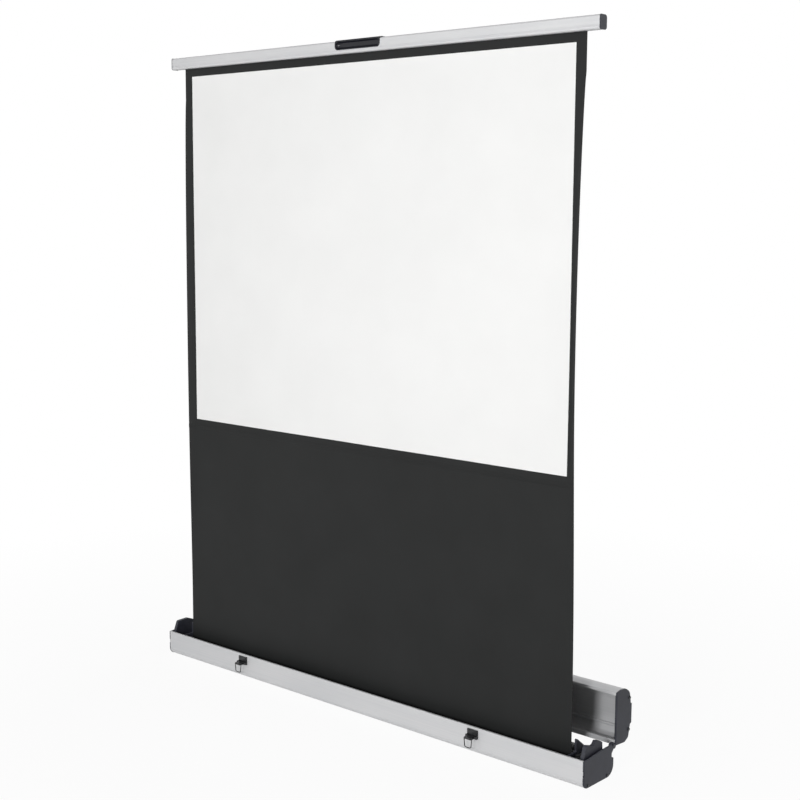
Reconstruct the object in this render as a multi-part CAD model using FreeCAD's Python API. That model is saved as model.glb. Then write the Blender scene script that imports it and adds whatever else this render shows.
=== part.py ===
import FreeCAD, Part
import os
from math import cos, hypot, pi, radians, sin, sqrt, tan

from FreeCAD import Vector

# Pull-up projection screen in a clam-shell aluminium case.
# X runs along the case, Y from front to back, Z up from the floor.

# Screen cloth
image_width = 1213.0
image_height = 910.0
image_sill = 672.5          # lower edge of the white area above the floor
border_width = 26.5
lower_border = 25.0
border_shown = 20.5         # black cloth between the white area and the top bar
drop_width = 1270.0
cloth_thickness = 0.6
cloth_setback = 37.0        # cloth plane behind the front of the case
cloth_tuck = 8.0            # length of cloth inside the top bar
curl_foot = 100.0           # side edges curl forward from this height
curl_crest = 930.0          # most at this height
curl_drop = 62.0            # up to this distance below the top of the white area
curl_right = 57.0           # degrees, at the crest
curl_left = 34.0
flat_turn = 1.0             # degrees, where the edge lies flat

# Base trough, an open extrusion
case_length = 1381.0
base_depth = 112.0
base_front_height = 66.0
base_rear_height = 50.0
foot_height = 2.0
base_wall = 2.2
base_front_corner = 16.0
base_rear_corner = 20.0
hem_width = 4.5             # rolled hem along both top edges
hem_height = 3.0
screw_boss_radius = 3.6
screw_hole_radius = 1.8
floor_rib_height = 5.0
floor_rib_width = 2.0

# End caps of base and lid
cap_flange = 3.5
cap_lip = 0.5
cap_back = 5.0              # cap behind the rear wall
cap_plug = 12.0
lid_spigot = 3.0            # rim of the lid cap inside the lid
cap_rise = 6.5              # cap above the hinge axis
cap_edge_round = 2.2
cap_crest_round = 12.0
plug_wall = 3.0
fit_gap = 0.2
bumper_height = 3.0
bumper_round = 2.5
notch_depth = 3.0
notch_height = 9.0
rear_notch = 7.5
foot_length = 32.0
foot_width = 13.0

# Hinge of the lid
hinge_back = 6.5            # axis behind the rear wall
hinge_height = 66.5
hinge_pin_radius = 2.5
hinge_ear_radius = 5.5
hinge_ear_width = 8.5
hinge_room = 13.0           # depth of the recess in the lid for its ear
running_gap = 0.06
side_gap = 0.5

# Lid, an open extrusion that stands on its rear edge
lid_depth = 58.5
lid_height = 126.0
lid_set = 6.0               # mouth of the lid behind the hinge axis
lid_drop = 3.0              # lowest point of the lid below the hinge axis
lid_wall = 2.2
lid_foot_round = 12.0
lid_back_round = 60.0
lid_shoulder_round = 18.0
lid_crown_round = 26.0
lid_upper_lip = 6.0
lid_lower_lip = 12.0
lid_groove_radius = 0.8

# Cradles for the top bar and brackets of the roller
cradle_gap = 4.5            # from the end of the extrusion to the cradle
cradle_thickness = 9.0
cradle_lead = 27.5          # cradle before the cloth plane
cradle_depth = 74.5
cradle_top = 95.0
roller_bracket_thickness = 5.0
roller_bracket_top = 94.5
bracket_step = 4.0          # upper arm of the bracket behind the cloth plane
bracket_tail = 14.0         # height of the arm at the back of the bracket
bracket_waist = 1.0         # upright of the bracket behind the cloth plane
bracket_screw_radius = 3.4
bracket_screw_height = 1.8

# Roller
tube_radius = 12.5
tube_wall = 1.2
roller_height = 30.0
roller_length = 1274.0
wrap_thickness = 0.6
wrap_gap = 0.3
plug_flange = 3.0
plug_depth = 25.0
roller_pin_radius = 4.0
spring_rod_length = 420.0

# Top bar
bar_length = 1342.0
bar_depth = 24.0
bar_height = 29.5
bar_lead = 14.0             # front of the bar before the cloth plane
bar_wall = 2.0
bar_round = 4.0
bar_back_round = 6.0
bar_slot = 3.2
bar_groove_radius = 0.7
bar_cap_flange = 2.0
bar_cap_lip = 0.5
bar_cap_plug = 10.0
clamp_rod_radius = 2.2
park_gap = 2.0              # lowered bar above the roller brackets
bar_pivot_rise = 18.0       # scissor pivots above the underside of the bar

# Pull grip in the top bar
grip_width = 144.0
grip_height = 21.0
grip_depth = 11.0
grip_round = 9.5
grip_crown = 6.0            # upper corners
grip_lip = 1.6              # grip above the top of the bar
grip_lip_reach = 6.0        # lip beyond the right end of the grip
grip_wall = 3.0
scoop_radius = 8.5
scoop_out = 1.5             # scoop axis before the face of the bar

# Folding scissor stand behind the cloth
stand_reach = 310.0         # between the ends of a raised arm, along the case
arm_width = 18.0
arm_thickness = 6.0
arm_back = 30.0             # front face of the front arms behind the middle of the base
slide_margin = 41.0         # folded slide pin inside the end of the bar
arm_pivot_height = 38.0
arm_slot_wall = 4.0
layer_gap = 2.5
pivot_radius = 4.0
pivot_head_radius = 6.5
pivot_head = 1.5
head_gap = 0.25
slide_gap = 0.2
rail_thickness = 4.0
rail_height = 22.0
rail_end = 12.0
rail_pad_width = 26.0
standoff_width = 20.0
standoff_height = 10.0

# Latches on the front wall
latch_spacing = 778.0
latch_plate_width = 31.0
latch_plate_height = 21.0
latch_plate_thickness = 1.8
latch_plate_drop = 5.5      # below the top edge of the wall
latch_ear_thickness = 2.2
latch_axis_out = 6.0        # lever axis before the wall
latch_axis_drop = 16.5      # lever axis below the top of the plate
latch_ear_radius = 3.4
latch_pin_radius = 1.4
lever_length = 12.0         # from lever axis to bail axis
lever_thickness = 5.0
lever_side_gap = 0.3
lever_nose = 3.2
bail_wire_radius = 1.1
bail_width = 22.6
bail_drop = 22.0
bail_round = 4.0
bail_taper = 2.5            # foot of the bail narrower on each side
bail_hook_round = 1.65
rivet_radius = 1.9
rivet_height = 0.9

# Keepers of the latches on the lid
keeper_width = 24.0
keeper_depth = 7.0
keeper_height = 3.0
keeper_wall = 1.5

# Carry handle on the back of the lid
handle_span = 128.0         # between the two mounts
mount_width = 15.0
mount_height = 26.0
mount_round = 3.5
handle_pin_radius = 2.4
handle_pin_wall = 3.6
handle_arm_width = 8.0
handle_drop = 36.0
grip_bar_radius = 5.5
handle_clear = 1.2

overrun = 5.0               # cutters run this far past a face

# Places worked out from the sizes
front_y = -base_depth / 2
rear_y = base_depth / 2
cloth_y = front_y + cloth_setback
half_case = case_length / 2
half_bar = bar_length / 2
hinge_y = rear_y + hinge_back
mouth_y = hinge_y + lid_set
lid_low = hinge_height - lid_drop
floor_z = foot_height + base_wall
image_top = image_sill + image_height
bar_sill = image_top + border_shown
bar_front = cloth_y - bar_lead
bar_rear = bar_front + bar_depth
bar_top = bar_sill + bar_height
image_half = image_width / 2
cloth_top = bar_sill + cloth_tuck
border_half = image_half + border_width
border_sill = image_sill - lower_border
roller_y = cloth_y - cloth_thickness / 2 - wrap_gap - wrap_thickness - tube_radius
wrap_radius = tube_radius + wrap_thickness
bracket_x = roller_length / 2 + plug_flange + side_gap
arm_back_rear = arm_back + arm_thickness + layer_gap
base_rail_y = arm_back_rear + arm_thickness + layer_gap
bar_rail_y = arm_back - layer_gap - rail_thickness
bar_pivot_height = bar_sill + bar_pivot_rise
stage_rise = (bar_pivot_height - arm_pivot_height) / 2
bar_lift = bar_sill - roller_bracket_top - park_gap
stage_fold = stage_rise - bar_lift / 2
arm_length = hypot(stage_rise, stand_reach)
slide_fold = half_bar - slide_margin
arm_pivot_left = sqrt(arm_length ** 2 - stage_fold ** 2) - slide_fold
slide_rest = stand_reach - arm_pivot_left
cross_x = (slide_rest - arm_pivot_left) / 2
lower_cross_z = arm_pivot_height + stage_rise / 2
elbow_z = arm_pivot_height + stage_rise
upper_cross_z = elbow_z + stage_rise / 2
half_latch = latch_spacing / 2
plate_top = base_front_height - latch_plate_drop
latch_axis_y = front_y - latch_axis_out
latch_axis_z = plate_top - latch_axis_drop
bail_axis_y = latch_axis_y - lever_length
lid_rear = mouth_y + lid_depth
handle_axis_y = lid_rear + handle_clear + grip_bar_radius

shapes = {}


def rounded_wire(points, radii, place):
    """Closed outline through the points, each corner turned with its own radius."""
    count = len(points)
    starts = []
    middles = []
    ends = []
    for i in range(count):
        corner = Vector(*points[i], 0)
        back = (Vector(*points[i - 1], 0) - corner).normalize()
        on = (Vector(*points[(i + 1) % count], 0) - corner).normalize()
        half = back.getAngle(on) / 2
        middle_way = (back + on).normalize()
        starts.append(corner + back * (radii[i] / tan(half)))
        ends.append(corner + on * (radii[i] / tan(half)))
        middles.append(corner + middle_way * (radii[i] / sin(half) - radii[i]))
    edges = []
    for i in range(count):
        if radii[i]:
            arc = [place(p.x, p.y) for p in (starts[i], middles[i], ends[i])]
            edges.append(Part.Arc(*arc).toShape())
        leave = ends[i]
        reach = starts[(i + 1) % count]
        edges.append(Part.LineSegment(place(leave.x, leave.y), place(reach.x, reach.y)).toShape())
    return Part.Wire(edges)


def end_view(x):
    return lambda y, z: Vector(x, y, z)


def front_view(y):
    return lambda x, z: Vector(x, y, z)


def along_x(points, radii, start, length):
    wire = rounded_wire(points, radii, end_view(start))
    return Part.Face(wire).extrude(Vector(length, 0, 0))


def along_y(points, radii, start, length):
    wire = rounded_wire(points, radii, front_view(start))
    return Part.Face(wire).extrude(Vector(0, length, 0))


def box(x_range, y_range, z_range):
    low = Vector(x_range[0], y_range[0], z_range[0])
    return Part.makeBox(x_range[1] - x_range[0], y_range[1] - y_range[0], z_range[1] - z_range[0], low)


def rod_x(radius, y, z, start, end):
    return Part.makeCylinder(radius, end - start, Vector(start, y, z), Vector(1, 0, 0))


def rod_y(radius, x, z, start, end):
    return Part.makeCylinder(radius, end - start, Vector(x, start, z), Vector(0, 1, 0))


def fused(pieces):
    return pieces[0].multiFuse(pieces[1:]).removeSplitter()


def other_end(shape):
    """The same piece mirrored to the left end."""
    return shape.mirror(Vector(0, 0, 0), Vector(1, 0, 0))


def round_rim(shape, x, radius):
    """Rounds the edges of a plate that lie in the plane at x."""
    rim = [e for e in shape.Edges if abs(e.BoundBox.XMin - x) + abs(e.BoundBox.XMax - x) < fit_gap]
    return shape.makeFillet(radius, rim)


def keep(name, shape):
    shapes[name] = shape


def keep_pair(name, shape):
    keep(name + "_right", shape)
    keep(name + "_left", other_end(shape))


# Base trough: front wall, floor and low rear wall with hems, floor ribs and screw bosses
def trough_outline(inset):
    low = foot_height + inset
    front = front_y + inset
    rear = rear_y - inset
    points = [(front, base_front_height), (front, low), (rear, low), (rear, base_front_height)]
    return points, [0, base_front_corner - inset, base_rear_corner - inset, 0]


outer = along_x(*trough_outline(0), -half_case, case_length)
inner = along_x(*trough_outline(base_wall), -half_case - overrun, case_length + 2 * overrun)
rear_cut = box(
    (-half_case - overrun, half_case + overrun),
    (rear_y - base_rear_corner, rear_y + overrun),
    (base_rear_height, base_front_height + overrun),
)
span = (-half_case, half_case)
front_hem = box(
    span, (front_y, front_y + hem_width), (base_front_height - hem_height, base_front_height)
)
rear_hem = box(span, (rear_y - hem_width, rear_y), (base_rear_height - hem_height, base_rear_height))
boss_setback = base_wall + screw_boss_radius - fit_gap
boss_places = [
    (front_y + boss_setback, base_front_height - hem_height - screw_boss_radius),
    (front_y + base_front_corner, floor_z + screw_boss_radius - fit_gap),
    (rear_y - base_rear_corner, floor_z + screw_boss_radius - fit_gap),
]
trough = outer.cut(inner).cut(rear_cut)
bosses = [rod_x(screw_boss_radius, y, z, *span) for y, z in boss_places]
rib_shares = (-0.22, 0.0, 0.22)
ribs = [
    box(
        span,
        (share * base_depth - floor_rib_width / 2, share * base_depth + floor_rib_width / 2),
        (floor_z - base_wall / 2, floor_z + floor_rib_height),
    )
    for share in rib_shares
]
trough = fused([trough, front_hem, rear_hem] + bosses + ribs)
boss_holes = [
    rod_x(screw_hole_radius, y, z, -half_case - overrun, half_case + overrun) for y, z in boss_places
]
trough = trough.cut(Part.makeCompound(boss_holes))
keep("base_trough", trough)

# Base end cap: flange with bumper and notches, hinge ear, and a hollow plug in the trough
cap_low = foot_height - cap_lip
cap_front = front_y - cap_lip
cap_rear = rear_y + cap_back
cap_top = hinge_height + cap_rise
cap_outside = half_case + cap_flange
notch_low = base_rear_height - notch_height
notch_in = cap_rear - rear_notch
cap_points = [
    (cap_front, base_front_height),
    (cap_front, cap_low),
    (cap_rear, cap_low),
    (cap_rear, notch_low),
    (notch_in, notch_low + bumper_height),
    (notch_in, base_rear_height + bumper_height),
    (cap_rear, hinge_height - hinge_ear_radius),
    (cap_rear - rear_notch, cap_top),
    (hinge_ear_radius, cap_top - bumper_round / 2),
    (front_y + cloth_setback / 2, base_front_height + bumper_round / 2),
]
cap_radii = [
    cap_edge_round,
    base_front_corner + cap_lip,
    base_rear_corner + cap_back,
    bumper_round,
    bumper_round,
    bumper_round,
    bumper_round,
    bumper_round,
    cap_crest_round,
    cap_crest_round,
]
flange = round_rim(along_x(cap_points, cap_radii, half_case, cap_flange), cap_outside, cap_edge_round)
ear = rod_x(hinge_ear_radius, hinge_y, hinge_height, half_case, cap_outside)
notch = box(
    (half_case - overrun, half_case + cap_flange + overrun),
    (cap_front - overrun, cap_front + notch_depth - cap_lip),
    (base_front_height / 2 + cap_lip, base_front_height / 2 + cap_lip + notch_height),
)
plug_inset = base_wall + fit_gap
plug_points, plug_radii = trough_outline(plug_inset)
plug_top = base_rear_height - hem_height - fit_gap
plug_points = [
    (front_y + plug_inset, plug_top),
    plug_points[1],
    plug_points[2],
    (rear_y - plug_inset, plug_top),
]
plug = along_x(plug_points, plug_radii, half_case - cap_plug, cap_plug)
core_inset = plug_inset + plug_wall
core_points, core_radii = trough_outline(core_inset)
core_points = [
    (front_y + core_inset, plug_top - plug_wall),
    core_points[1],
    core_points[2],
    (rear_y - core_inset, plug_top - plug_wall),
]
plug_core = along_x(core_points, core_radii, half_case - cap_plug - overrun, cap_plug + overrun)
boss_rooms = [
    rod_x(screw_boss_radius + fit_gap, y, z, half_case - cap_plug - overrun, half_case)
    for y, z in boss_places
]
rib_rooms = [
    box(
        (half_case - cap_plug - overrun, half_case),
        (
            share * base_depth - floor_rib_width / 2 - fit_gap,
            share * base_depth + floor_rib_width / 2 + fit_gap,
        ),
        (floor_z - overrun, floor_z + floor_rib_height + fit_gap),
    )
    for share in rib_shares
]
plug = plug.cut(plug_core).cut(Part.makeCompound(boss_rooms + rib_rooms))
base_cap = fused([flange.cut(notch), ear] + plug.Solids)
pin_hole = rod_x(
    hinge_pin_radius, hinge_y, hinge_height, half_case - overrun, half_case + cap_flange + overrun
)
base_cap = base_cap.cut(pin_hole)
cap_holes = [
    rod_x(screw_hole_radius, y, z, half_case - overrun, half_case + cap_flange + overrun)
    for y, z in boss_places[1:]
]
base_cap = base_cap.cut(Part.makeCompound(cap_holes))
keep_pair("base_end_cap", base_cap)

# Hinge pins, fast in the base ears and turning in the lid ears
lid_ear_end = half_case - side_gap
lid_ear_start = lid_ear_end - hinge_ear_width
keep_pair(
    "hinge_pin", rod_x(hinge_pin_radius, hinge_y, hinge_height, lid_ear_start, half_case + cap_flange)
)

# Screws of the base caps: round heads on the flange and shanks in the bosses
def cap_screw(y, z, x_face):
    shank = rod_x(screw_hole_radius, y, z, x_face - cap_plug, x_face)
    head = rod_x(bracket_screw_radius, y, z, x_face, x_face + bracket_screw_height)
    return fused([head, shank])


right_screws = [cap_screw(y, z, half_case + cap_flange) for y, z in boss_places[1:]]
keep("base_cap_screws", Part.makeCompound(right_screws + [other_end(s) for s in right_screws]))

# Rubber feet under both ends of the trough
foot_front = front_y + base_front_corner
foot_back = rear_y - base_rear_corner - foot_width
foot_end = half_case - cap_lip
feet = [
    box((foot_end - foot_length, foot_end), (y, y + foot_width), (0, foot_height))
    for y in (foot_front, foot_back)
]
keep("foot_pads", Part.makeCompound(feet + [other_end(f) for f in feet]))

# Cradle at each end: an upright plate, with a saddle in its top edge at the right
cradle_x = half_case - cradle_gap - cradle_thickness
cradle_root = plug_top + fit_gap
cradle_front = cloth_y - cradle_lead
cradle_height = cradle_top - cradle_root
saddle_shares = [
    (0.0, 0.0), (1.0, 0.0), (0.96, 0.8), (0.8, 0.94), (0.637, 1.0), (0.56, 0.865), (0.48, 0.82),
    (0.167, 0.975), (0.12, 0.92), (0.0, 0.44),
]
plain_shares = [
    (0.0, 0.0), (1.0, 0.0), (0.96, 0.78), (0.81, 0.88), (0.6, 1.0), (0.167, 0.975), (0.12, 0.92),
    (0.0, 0.44),
]


def cradle(shares):
    """Plate through the shares of its depth and height, with its upper corners eased."""
    points = [(cradle_front + u * cradle_depth, cradle_root + v * cradle_height) for u, v in shares]
    radii = [0, 0] + [bumper_round] * (len(shares) - 2)
    return along_x(points, radii, cradle_x, cradle_thickness)


keep("bar_cradle_right", cradle(saddle_shares))
keep("bar_cradle_left", other_end(cradle(plain_shares)))

# Roller bracket at each end: a sloping plate that stands on the floor of the trough
bracket_front = roller_y - tube_radius - wrap_thickness
bracket_back = bar_rail_y - layer_gap
bracket_foot = floor_z + floor_rib_height
bracket_shoulder = base_front_height - bumper_height
arm_front = cloth_y + bracket_step
waist_y = cloth_y + bracket_waist
bracket_points = [
    (bracket_front, bracket_foot),
    (bracket_front, bracket_shoulder),
    (arm_front, bracket_shoulder),
    (arm_front, roller_bracket_top),
    (bracket_back, base_front_height),
    (bracket_back, base_front_height - bracket_tail),
    (waist_y, base_front_height - bracket_tail / 2),
    (waist_y, bracket_foot),
]
bracket_radii = [0] + [bumper_round] * 6 + [0]
bracket = along_x(bracket_points, bracket_radii, bracket_x, roller_bracket_thickness)
bracket_hole = rod_x(
    roller_pin_radius + running_gap, roller_y, roller_height, bracket_x - overrun,
    bracket_x + roller_bracket_thickness + overrun,
)
boss_room = rod_x(
    screw_boss_radius + fit_gap, *boss_places[1], bracket_x - overrun,
    bracket_x + roller_bracket_thickness + overrun,
)
bracket = bracket.cut(bracket_hole).cut(boss_room)
keep_pair("roller_bracket", bracket)
bracket_screw_y = bracket_back - 2 * bracket_screw_radius
bracket_screw_z = base_front_height - 2 * bracket_screw_radius
bracket_face = bracket_x + roller_bracket_thickness
bracket_screw = rod_x(
    bracket_screw_radius, bracket_screw_y, bracket_screw_z, bracket_face,
    bracket_face + bracket_screw_height,
)
keep("bracket_screws", Part.makeCompound([bracket_screw, other_end(bracket_screw)]))

# Roller: tube, plugs at both ends, the last turns of cloth, and a fixed spring rod on the left
half_roller = roller_length / 2
tube = rod_x(tube_radius, roller_y, roller_height, -half_roller, half_roller)
tube_bore = rod_x(
    tube_radius - tube_wall, roller_y, roller_height, -half_roller - overrun, half_roller + overrun
)
keep("roller_tube", tube.cut(tube_bore))
half_drop = drop_width / 2
wrap = rod_x(wrap_radius, roller_y, roller_height, -half_drop, half_drop)
keep("cloth_wrap", wrap.cut(tube))
plug_radius = tube_radius - tube_wall
roller_plug = fused([
    rod_x(plug_radius, roller_y, roller_height, half_roller - plug_depth, half_roller),
    rod_x(tube_radius, roller_y, roller_height, half_roller, half_roller + plug_flange),
])
pin_end = bracket_x + roller_bracket_thickness
idler = fused([
    roller_plug,
    rod_x(roller_pin_radius, roller_y, roller_height, half_roller + plug_flange, pin_end),
])
keep("roller_plug_right", idler)
rod_hole = rod_x(
    roller_pin_radius + running_gap, roller_y, roller_height, half_roller - plug_depth - overrun,
    half_roller + plug_flange + overrun,
)
keep("roller_plug_left", other_end(roller_plug.cut(rod_hole)))
spring_rod = rod_x(roller_pin_radius, roller_y, roller_height, pin_end - spring_rod_length, pin_end)
keep("spring_rod", other_end(spring_rod))

# Screen cloth: white area in a black border, and a black drop down to the roller
cloth_front = cloth_y - cloth_thickness / 2
cloth_span = (cloth_front, cloth_front + cloth_thickness)
curl_top = image_top - curl_drop
upper_ease_share = 0.55
lower_ease_share = 2.2


def curl_at(z, full_turn):
    """Angle through which a side edge has curled forward at height z."""
    if z > curl_crest:
        rise_share = (curl_top - z) / (curl_top - curl_crest)
        ease_share = upper_ease_share
    else:
        rise_share = (z - curl_foot) / (curl_crest - curl_foot)
        ease_share = lower_ease_share
    turn = full_turn * sin(pi / 2 * max(rise_share, 0)) ** ease_share
    return radians(max(turn, flat_turn))


def edge_strip(z, full_turn):
    """Outline at height z of the cloth beside the white area."""
    rise_share = (z - roller_height) / (cloth_top - roller_height)
    width = half_drop + (border_half - half_drop) * rise_share - image_half
    turn = curl_at(z, full_turn)
    radius = width / turn
    sides = []
    for reach in (radius - cloth_thickness / 2, radius + cloth_thickness / 2):
        turns = (0, turn / 2, turn)
        sides.append([
            Vector(image_half + reach * sin(t), cloth_y - radius + reach * cos(t), z) for t in turns
        ])
    front, back = sides
    return Part.Wire([
        Part.Arc(*front).toShape(),
        Part.LineSegment(front[2], back[2]).toShape(),
        Part.Arc(*reversed(back)).toShape(),
        Part.LineSegment(back[0], front[0]).toShape(),
    ])


def curled_edges(low, high, steps):
    """Strips at the right and the left of the cloth between two heights."""
    levels = [low + (high - low) * i / steps for i in range(steps + 1)]
    right = Part.makeLoft([edge_strip(z, curl_right) for z in levels], True, False)
    left = Part.makeLoft([edge_strip(z, curl_left) for z in levels], True, False)
    return [right, other_end(left)]


image_span = (-image_half, image_half)
keep("screen_image", box(image_span, cloth_span, (image_sill, image_top)))
border_steps = 16
keep("screen_border", fused([
    box(image_span, cloth_span, (image_top, cloth_top)),
    box(image_span, cloth_span, (border_sill, image_sill)),
] + curled_edges(border_sill, cloth_top, border_steps)))
drop_steps = 6
keep("screen_drop", fused(
    [box(image_span, cloth_span, (roller_height, border_sill))]
    + curled_edges(roller_height, border_sill, drop_steps)
))

# Top bar: hollow extrusion with a slot for the cloth and grooves along its face
def bar_outline(inset):
    front = bar_front + inset
    rear = bar_rear - inset
    low = bar_sill + inset
    high = bar_top - inset
    rounds = (bar_round, bar_back_round, bar_back_round, bar_round)
    radii = [max(r - inset, r / 3) for r in rounds]
    return [(front, low), (rear, low), (rear, high), (front, high)], radii


bar = along_x(*bar_outline(0), -half_bar, bar_length)
bar_bore = along_x(*bar_outline(bar_wall), -half_bar - overrun, bar_length + 2 * overrun)
slot = box(
    (-half_bar - overrun, half_bar + overrun),
    (cloth_y - bar_slot / 2, cloth_y + bar_slot / 2),
    (bar_sill - overrun, bar_sill + 2 * bar_wall),
)
groove_shares = (0.22, 0.3)
grooves = [
    rod_x(
        bar_groove_radius, bar_front - bar_groove_radius / 3, bar_sill + share * bar_height,
        -half_bar - overrun, half_bar + overrun,
    )
    for share in groove_shares
]
grip_half = grip_width / 2
grip_low = bar_top - grip_height
grip_top = bar_top + grip_lip
grip_points = [
    (-grip_half, grip_low), (grip_half, grip_low), (grip_half, grip_top), (-grip_half, grip_top)
]
grip_radii = [grip_round, grip_round, grip_crown, grip_crown]
grip_block = along_y(grip_points, grip_radii, bar_front, grip_depth)
room_half = grip_half + fit_gap
room_points = [
    (-room_half, grip_low - fit_gap), (room_half, grip_low - fit_gap),
    (room_half, bar_top + overrun), (-room_half, bar_top + overrun),
]
grip_room = along_y(
    room_points, [grip_round + fit_gap, grip_round + fit_gap, 0, 0], bar_front - overrun,
    grip_depth + fit_gap + overrun,
)
bar = bar.cut(bar_bore).cut(slot).cut(Part.makeCompound(grooves)).cut(grip_room)
keep("top_bar", bar)

# Pull grip: a moulded insert with a finger scoop and a lip over the top of the bar
scoop_half = grip_half - grip_wall - scoop_radius
scoop_y = bar_front - scoop_out
scoop_z = (grip_low + bar_top) / 2
scoop = fused([rod_x(scoop_radius, scoop_y, scoop_z, -scoop_half, scoop_half)] + [
    Part.makeSphere(scoop_radius, Vector(x, scoop_y, scoop_z)) for x in (-scoop_half, scoop_half)
])
grip_edge = grip_half + grip_lip_reach
lip_start = grip_crown - grip_half
lip_points = [
    (lip_start, bar_front), (grip_edge, bar_front), (grip_edge, bar_rear), (lip_start, bar_rear)
]
lip_wire = rounded_wire(lip_points, [grip_wall] * 4, lambda x, y: Vector(x, y, bar_top))
lip = Part.Face(lip_wire).extrude(Vector(0, 0, grip_lip))
keep("pull_grip", fused([grip_block.cut(scoop), lip]))

# Caps of the top bar and the rod that holds the cloth in its slot
bar_cap_face = along_x(*bar_outline(-bar_cap_lip), half_bar, bar_cap_flange)
bar_cap = fused([
    round_rim(bar_cap_face, half_bar + bar_cap_flange, bar_cap_flange / 2),
    along_x(*bar_outline(bar_wall + fit_gap), half_bar - bar_cap_plug, bar_cap_plug),
])
slot_room = box(
    (half_bar - bar_cap_plug - overrun, half_bar),
    (cloth_y - bar_slot / 2, cloth_y + bar_slot / 2),
    (bar_sill, cloth_top + clamp_rod_radius),
)
keep_pair("bar_cap", bar_cap.cut(slot_room))
clamp_z = cloth_top + clamp_rod_radius + fit_gap
clamp_half = half_bar - bar_cap_plug - fit_gap
keep("cloth_clamp_rod", rod_x(clamp_rod_radius, cloth_y, clamp_z, -clamp_half, clamp_half))

# Scissor stand: two crossed pairs of flat arms between a fixed pivot and a slot
pivot_hole = pivot_radius + running_gap


end_share = 0.999           # of a full round, at the ends of arms and slots


def arm(start, end, y):
    """Flat arm with round ends, holes at both ends and at the middle, and a lightening slot."""
    half = arm_width / 2
    reach = hypot(end[0] - start[0], end[1] - start[1])
    points = [(-half, -half), (reach + half, -half), (reach + half, half), (-half, half)]
    blank = along_y(points, [half * end_share] * 4, y, arm_thickness)
    holes = [
        rod_y(pivot_hole, x, 0, y - overrun, y + arm_thickness + overrun)
        for x in (0, reach / 2, reach)
    ]
    slot_half = half - arm_slot_wall
    for x in (reach / 4, reach * 3 / 4):
        slot_reach = reach / 4 - arm_width
        slot_points = [
            (x - slot_reach, -slot_half), (x + slot_reach, -slot_half),
            (x + slot_reach, slot_half), (x - slot_reach, slot_half),
        ]
        holes.append(
            along_y(slot_points, [slot_half * end_share] * 4, y - overrun, arm_thickness + 2 * overrun)
        )
    blank = blank.cut(Part.makeCompound(holes))
    along = Vector(end[0] - start[0], 0, end[1] - start[1])
    turn = FreeCAD.Rotation(Vector(1, 0, 0), along)
    blank.Placement = FreeCAD.Placement(Vector(start[0], 0, start[1]), turn).multiply(blank.Placement)
    return blank


left_x = -arm_pivot_left
base_left = (left_x, arm_pivot_height)
base_right = (slide_rest, arm_pivot_height)
elbow_left = (left_x, elbow_z)
elbow_right = (slide_rest, elbow_z)
bar_left = (left_x, bar_pivot_height)
bar_right = (slide_rest, bar_pivot_height)
keep("arm_lower_front", arm(base_left, elbow_right, arm_back))
keep("arm_lower_rear", arm(base_right, elbow_left, arm_back_rear))
keep("arm_upper_front", arm(elbow_left, bar_right, arm_back))
keep("arm_upper_rear", arm(elbow_right, bar_left, arm_back_rear))


def pivot(place, first, last):
    """Pin along Y with a flat head outside each of the two outer faces."""
    x, z = place
    front = first - head_gap
    back = last + head_gap
    return fused([
        rod_y(pivot_head_radius, x, z, front - pivot_head, front),
        rod_y(pivot_radius, x, z, front, back),
        rod_y(pivot_head_radius, x, z, back, back + pivot_head),
    ])


arms_rear = arm_back_rear + arm_thickness
keep("pivot_lower_cross", pivot((cross_x, lower_cross_z), arm_back, arms_rear))
keep("pivot_upper_cross", pivot((cross_x, upper_cross_z), arm_back, arms_rear))
keep("pivot_elbow_left", pivot(elbow_left, arm_back, arms_rear))
keep("pivot_elbow_right", pivot(elbow_right, arm_back, arms_rear))
base_rail_rear = base_rail_y + rail_thickness
keep("pivot_base", pivot(base_left, arm_back, base_rail_rear))
keep("slide_pin_base", pivot(base_right, arm_back_rear, base_rail_rear))
keep("pivot_bar", pivot(bar_left, bar_rail_y, arms_rear))
keep("slide_pin_bar", pivot(bar_right, bar_rail_y, arm_back + arm_thickness))

# Slotted rails on the base and on the bar: a fixed pivot at the left and a slot to the right
rail_left = left_x - rail_end
rail_right = slide_fold + rail_end
slot_half = pivot_radius + slide_gap


def rail(y, z):
    half = rail_height / 2
    points = [
        (rail_left, z - half), (rail_right, z - half), (rail_right, z + half), (rail_left, z + half)
    ]
    plate = along_y(points, [half / 2] * 4, y, rail_thickness)
    start = slide_rest - pivot_radius - side_gap
    end = slide_fold + pivot_radius + side_gap
    slot_points = [
        (start, z - slot_half), (end, z - slot_half), (end, z + slot_half), (start, z + slot_half)
    ]
    run = along_y(
        slot_points, [slot_half / 4] * 4, y - overrun, rail_thickness + 2 * overrun
    )
    hole = rod_y(pivot_radius + running_gap, left_x, z, y - overrun, y + rail_thickness + overrun)
    return plate.cut(run).cut(hole)


rail_span = rail_right - rail_left
pad_shares = (0.06, 0.36, 0.9)
pad_places = [rail_left + share * rail_span for share in pad_shares]
head_room = pivot_head_radius + side_gap
base_rail_pads = []
bar_standoffs = []
for x in pad_places:
    base_rail_pads.append(
        box(
            (x - rail_pad_width / 2, x + rail_pad_width / 2),
            (base_rail_y, rear_y - base_wall),
            (arm_pivot_height - rail_height / 2, arm_pivot_height - head_room),
        )
    )
    bar_standoffs.append(
        box(
            (x - standoff_width / 2, x + standoff_width / 2),
            (bar_rear, bar_rail_y),
            (bar_pivot_height - head_room - standoff_height, bar_pivot_height - head_room),
        )
    )
keep("base_rail", fused([rail(base_rail_y, arm_pivot_height)] + base_rail_pads))
keep("bar_rail", rail(bar_rail_y, bar_pivot_height))
keep("rail_standoffs", Part.makeCompound(bar_standoffs))

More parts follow.
